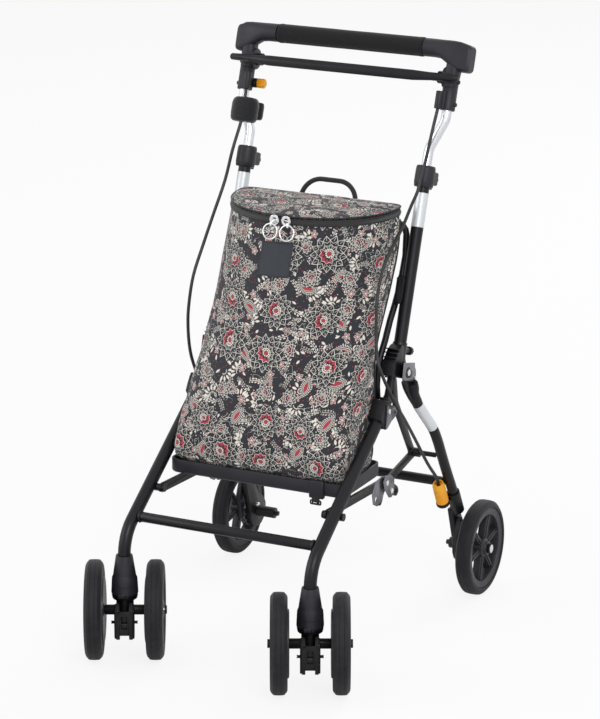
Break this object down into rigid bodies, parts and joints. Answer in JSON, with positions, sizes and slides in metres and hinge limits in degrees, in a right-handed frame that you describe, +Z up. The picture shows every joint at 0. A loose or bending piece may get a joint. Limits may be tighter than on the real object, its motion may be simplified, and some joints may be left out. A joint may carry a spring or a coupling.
{
  "type": "shopping walker",
  "caption": "Folding shopping walker: leaning mast with height-adjustable handle and brake bar, fabric bag in a tray, twin front casters and spoked rear wheels.",
  "frame": {"origin": "on the floor under the middle of the bounding box", "axes": "+Z up, -Y the walker's front with the casters, +Y the user's side with the rear wheels, +X the right-hand side of a viewer who faces the front"},
  "size_m": [0.4708, 0.6465, 0.881],
  "materials": {
    "frame_black": "satin",
    "bright_tube": "satin",
    "steel_plate": "satin",
    "dark_plastic": "matte",
    "orange_plastic": "matte",
    "bag_fabric": "woven",
    "strap": "matte",
    "foam": "matte",
    "tyre": "matte",
    "wheel_plastic": "matte"
  },
  "bodies": {
    "mast": {"post_r": "frame_black", "post_l": "frame_black", "collar_r": "dark_plastic", "collar_l": "dark_plastic", "post_bracket_r": "dark_plastic", "post_bracket_l": "dark_plastic", "bag_hoop": "frame_black", "bag_body": "bag_fabric", "zip_band": "bag_fabric", "cable_r": "dark_plastic", "cable_l": "dark_plastic"},
    "handle": {"inner_tube_r": "bright_tube", "inner_tube_l": "bright_tube", "handle_bracket_r": "dark_plastic", "handle_bracket_l": "dark_plastic", "grip": "foam", "cane_strap": "strap"},
    "brake_bar": {"brake_bar": "frame_black"},
    "lock_knob": {"lock_knob": "orange_plastic"},
    "collar_button_r": {"collar_button_r": "dark_plastic"},
    "collar_button_l": {"collar_button_l": "dark_plastic"},
    "bag_lid": {"bag_lid": "bag_fabric"},
    "zip_ring_a": {"zip_ring_a": "bright_tube"},
    "zip_ring_b": {"zip_ring_b": "bright_tube"},
    "carry_handle": {"carry_handle": "bag_fabric"},
    "front_frame": {"front_leg_r": "frame_black", "front_leg_l": "frame_black", "front_crossbar": "frame_black", "leg_bracket_r": "dark_plastic", "leg_bracket_l": "dark_plastic", "tray": "dark_plastic", "caster_socket_r": "dark_plastic", "caster_socket_l": "dark_plastic"},
    "caster_r": {"caster_fork_r": "dark_plastic"},
    "caster_l": {"caster_fork_l": "dark_plastic"},
    "caster_wheel_r_outer": {"caster_wheel_r_outer": "tyre"},
    "caster_wheel_r_inner": {"caster_wheel_r_inner": "tyre"},
    "caster_wheel_l_outer": {"caster_wheel_l_outer": "tyre"},
    "caster_wheel_l_inner": {"caster_wheel_l_inner": "tyre"},
    "lock_lever_r": {"lock_lever_r": "dark_plastic"},
    "lock_lever_l": {"lock_lever_l": "dark_plastic"},
    "rear_frame": {"rear_leg_r": "frame_black", "rear_leg_l": "frame_black", "rear_crossbar": "frame_black", "link_plate_r": "steel_plate", "link_plate_l": "steel_plate", "wheel_bracket_r": "dark_plastic", "wheel_bracket_l": "dark_plastic", "cable_cover_r": "orange_plastic", "cable_cover_l": "orange_plastic"},
    "brake_lever_r": {"brake_lever_r": "dark_plastic"},
    "brake_lever_l": {"brake_lever_l": "dark_plastic"},
    "rear_wheel_r": {"rear_tyre_r": "tyre", "rear_rim_r": "wheel_plastic"},
    "rear_wheel_l": {"rear_tyre_l": "tyre", "rear_rim_l": "wheel_plastic"},
    "brace_front": {"brace_front_r": "frame_black", "brace_front_l": "frame_black"},
    "brace_rear": {"brace_rear_r": "frame_black", "brace_rear_l": "frame_black"}
  },
  "joints": [
    {"name": "rear_fold", "type": "hinge", "parent": "mast", "child": "rear_frame", "pos_m": [0, 0.0683, 0.402], "axis": [1, 0, 0], "range_deg": [-20, 0], "deforming": ["cable_r", "cable_l"]},
    {"name": "front_fold", "type": "hinge", "parent": "mast", "child": "front_frame", "pos_m": [0, 0.0263, 0.354], "axis": [1, 0, 0], "range_deg": [0, 16]},
    {"name": "brace_front_fold", "type": "hinge", "parent": "front_frame", "child": "brace_front", "pos_m": [0, -0.1467, 0.242], "axis": [1, 0, 0], "range_deg": [-34, 0]},
    {"name": "brace_rear_fold", "type": "hinge", "parent": "rear_frame", "child": "brace_rear", "pos_m": [0, 0.1508, 0.2505], "axis": [1, 0, 0], "range_deg": [0, 88]},
    {"name": "handle_slide", "type": "slide", "parent": "mast", "child": "handle", "axis": [0, 0.332, 0.9433], "range_m": [0, 0.09], "deforming": ["cable_r", "cable_l"]},
    {"name": "brake_bar_squeeze", "type": "hinge", "parent": "handle", "child": "brake_bar", "pos_m": [0, 0.21318, 0.82393], "axis": [-1, 0, 0], "range_deg": [0, 18], "stiffness_Nm_per_rad": 2, "springref_deg": -11.46},
    {"name": "brake_lever_r_turn", "type": "hinge", "parent": "rear_frame", "child": "brake_lever_r", "pos_m": [0.19, 0.2173, 0.127], "axis": [1, 0, 0], "range_deg": [0, 3]},
    {"name": "brake_lever_l_turn", "type": "hinge", "parent": "rear_frame", "child": "brake_lever_l", "pos_m": [-0.19, 0.2173, 0.127], "axis": [1, 0, 0], "range_deg": [0, 3]},
    {"name": "collar_button_r_press", "type": "slide", "parent": "mast", "child": "collar_button_r", "axis": [0, -0.9433, 0.332], "range_m": [0, 0.004], "stiffness_N_per_m": 300, "springref_m": -0.003},
    {"name": "collar_button_l_press", "type": "slide", "parent": "mast", "child": "collar_button_l", "axis": [0, -0.9433, 0.332], "range_m": [0, 0.004], "stiffness_N_per_m": 300, "springref_m": -0.003},
    {"name": "lock_knob_turn", "type": "hinge", "parent": "handle", "child": "lock_knob", "pos_m": [-0.1608, 0.20414, 0.78831], "axis": [1, 0, 0], "range_deg": [0, 90]},
    {"name": "lid_open", "type": "hinge", "parent": "mast", "child": "bag_lid", "pos_m": [0, 0.1213, 0.6463], "axis": [1, 0, 0], "range_deg": [-85, 0]},
    {"name": "zip_ring_a_swing", "type": "hinge", "parent": "mast", "child": "zip_ring_a", "pos_m": [-0.0142, -0.02621, 0.63586], "axis": [1, 0, 0], "range_deg": [-60, 0]},
    {"name": "zip_ring_b_swing", "type": "hinge", "parent": "mast", "child": "zip_ring_b", "pos_m": [0.0134, -0.02626, 0.63586], "axis": [1, 0, 0], "range_deg": [-60, 0]},
    {"name": "carry_handle_swing", "type": "hinge", "parent": "mast", "child": "carry_handle", "pos_m": [0, 0.1304, 0.61495], "axis": [1, 0, 0], "range_deg": [-70, 0]},
    {"name": "caster_r_swivel", "type": "hinge", "parent": "front_frame", "child": "caster_r", "pos_m": [0.153, -0.2337, 0.11], "axis": [0, 0, 1], "continuous": true},
    {"name": "caster_l_swivel", "type": "hinge", "parent": "front_frame", "child": "caster_l", "pos_m": [-0.153, -0.2337, 0.11], "axis": [0, 0, 1], "continuous": true},
    {"name": "caster_wheel_r_outer_spin", "type": "hinge", "parent": "caster_r", "child": "caster_wheel_r_outer", "pos_m": [0.19361, -0.21363, 0.075], "axis": [0.8965, 0.4431, 0], "continuous": true},
    {"name": "caster_wheel_r_inner_spin", "type": "hinge", "parent": "caster_r", "child": "caster_wheel_r_inner", "pos_m": [0.11239, -0.25377, 0.075], "axis": [0.8965, 0.4431, 0], "continuous": true},
    {"name": "caster_wheel_l_outer_spin", "type": "hinge", "parent": "caster_l", "child": "caster_wheel_l_outer", "pos_m": [-0.19361, -0.25377, 0.075], "axis": [0.8965, 0.4431, 0], "continuous": true},
    {"name": "caster_wheel_l_inner_spin", "type": "hinge", "parent": "caster_l", "child": "caster_wheel_l_inner", "pos_m": [-0.11239, -0.21363, 0.075], "axis": [0.8965, 0.4431, 0], "continuous": true},
    {"name": "lock_lever_r_press", "type": "hinge", "parent": "caster_r", "child": "lock_lever_r", "pos_m": [0.16208, -0.25208, 0.063], "axis": [0.8965, 0.4431, 0], "range_deg": [0, 18]},
    {"name": "lock_lever_l_press", "type": "hinge", "parent": "caster_l", "child": "lock_lever_l", "pos_m": [-0.14392, -0.25208, 0.063], "axis": [0.8965, 0.4431, 0], "range_deg": [0, 18]},
    {"name": "rear_wheel_r_spin", "type": "hinge", "parent": "rear_frame", "child": "rear_wheel_r", "pos_m": [0.2125, 0.2483, 0.075], "axis": [1, 0, 0], "continuous": true},
    {"name": "rear_wheel_l_spin", "type": "hinge", "parent": "rear_frame", "child": "rear_wheel_l", "pos_m": [-0.2125, 0.2483, 0.075], "axis": [1, 0, 0], "continuous": true}
  ],
  "couplings": [
    {"joint": "front_fold", "follows": "rear_fold", "ratio": -0.79},
    {"joint": "brace_front_fold", "follows": "rear_fold", "ratio": 1.685},
    {"joint": "brace_rear_fold", "follows": "rear_fold", "ratio": -4.385},
    {"joint": "brake_lever_r_turn", "follows": "brake_bar_squeeze", "ratio": 0.1666},
    {"joint": "brake_lever_l_turn", "follows": "brake_bar_squeeze", "ratio": 0.1666}
  ]
}
